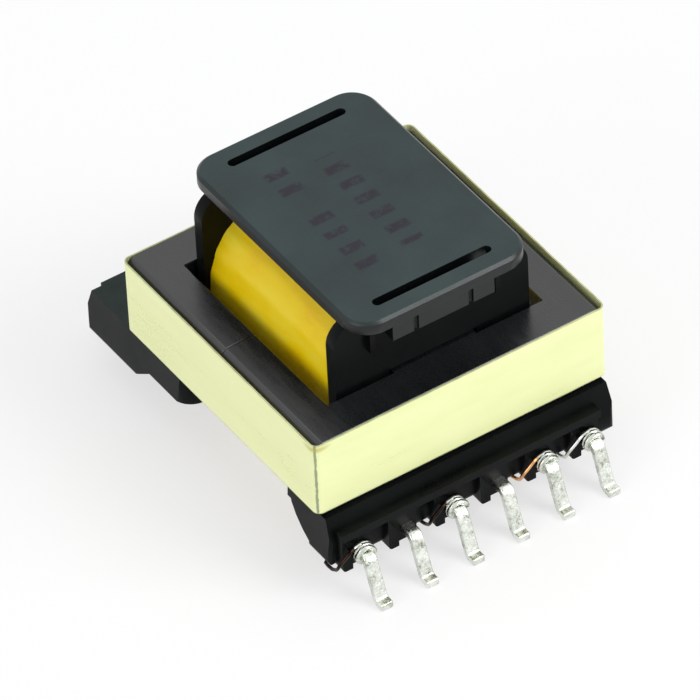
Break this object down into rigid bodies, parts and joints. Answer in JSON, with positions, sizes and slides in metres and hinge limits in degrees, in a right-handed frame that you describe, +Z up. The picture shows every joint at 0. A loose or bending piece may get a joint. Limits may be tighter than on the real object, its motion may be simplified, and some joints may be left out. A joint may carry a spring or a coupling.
{
  "type": "pcb transformer",
  "caption": "Small surface-mount switching transformer with ferrite E cores, taped core and coil, black bobbin, clip-on pick-up cap and gull-wing terminals.",
  "frame": {"origin": "middle of the footprint on the board plane, where the terminals' feet rest", "axes": "+X along the terminal rows, -Y towards the front row (terminals 1 to 6), +Z up from the board"},
  "size_m": [0.0162, 0.0248, 0.0136],
  "materials": {
    "ferrite": "ground, slightly glossy",
    "core_tape": "smooth polyester tape",
    "bobbin_plastic": "moulded phenolic with varnish",
    "cap_plastic": "moulded, glossy",
    "magnet_wire": "enamelled copper wire",
    "insulation_film": "clear film",
    "winding_tape": "smooth polyester tape",
    "tinned_terminal": "hot tinned",
    "lead_wire": "bare and tinned copper wire"
  },
  "bodies": {
    "root": {"core_front": "ferrite", "core_rear": "ferrite", "core_tape": "core_tape", "bobbin": "bobbin_plastic", "top_cap": "cap_plastic", "primary_winding": "magnet_wire", "layer_insulation": "insulation_film", "secondary_winding": "magnet_wire", "winding_tape": "winding_tape", "pin_1": "tinned_terminal", "pin_2": "tinned_terminal", "pin_3": "tinned_terminal", "pin_4": "tinned_terminal", "pin_5": "tinned_terminal", "pin_6": "tinned_terminal", "pin_7": "tinned_terminal", "pin_8": "tinned_terminal", "pin_9": "tinned_terminal", "pin_10": "tinned_terminal", "pin_11": "tinned_terminal", "pin_12": "tinned_terminal", "lead_pin_1": "lead_wire", "lead_pin_3": "lead_wire", "lead_pin_5": "lead_wire", "lead_pin_6": "lead_wire", "lead_pin_8": "lead_wire", "lead_pin_11": "lead_wire"}
  },
  "joints": []
}
